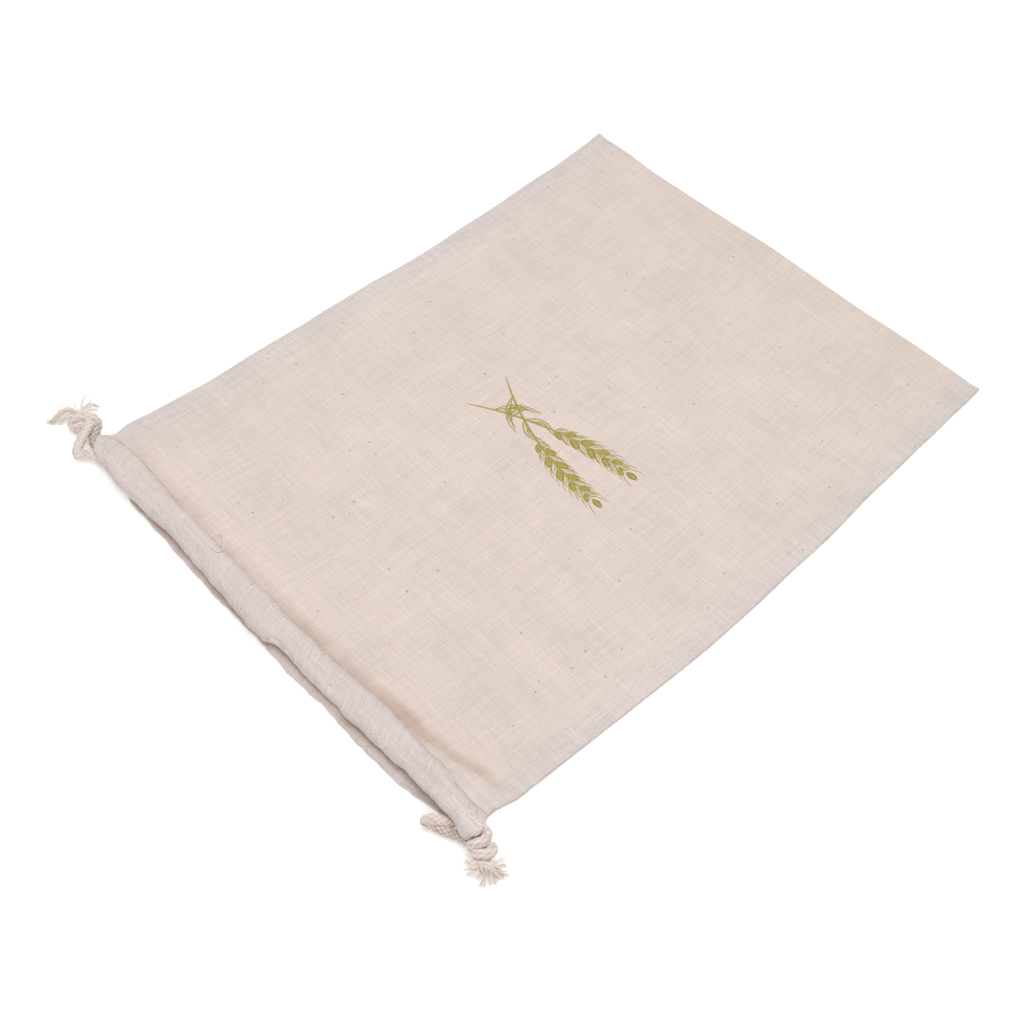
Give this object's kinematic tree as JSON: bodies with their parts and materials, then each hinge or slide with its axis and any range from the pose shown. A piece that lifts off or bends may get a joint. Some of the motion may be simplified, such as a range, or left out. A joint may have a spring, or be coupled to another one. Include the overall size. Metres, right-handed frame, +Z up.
{
  "type": "linen drawstring bread bag",
  "caption": "Flat, empty linen bread bag lying on its back, with a hemmed channel along each lip of the mouth and a knotted drawstring through each.",
  "frame": {"origin": "under the middle of the bag's cloth, on the surface that it lies on", "axes": "+Y along the bag from its mouth to its closed end, +Z up through its thickness, +X to the right of +Y"},
  "size_m": [0.3553, 0.4368, 0.015],
  "materials": {
    "linen": "plain-woven undyed linen, matt",
    "cord": "braided undyed cotton, matt",
    "strands": "loose cotton strands, matt"
  },
  "bodies": {
    "root": {"bag_cloth": "linen", "drawstring_front": "cord", "drawstring_back": "cord", "knot_left": "cord", "knot_right": "cord", "frayed_end_left": "strands", "frayed_end_right": "strands"}
  },
  "joints": []
}
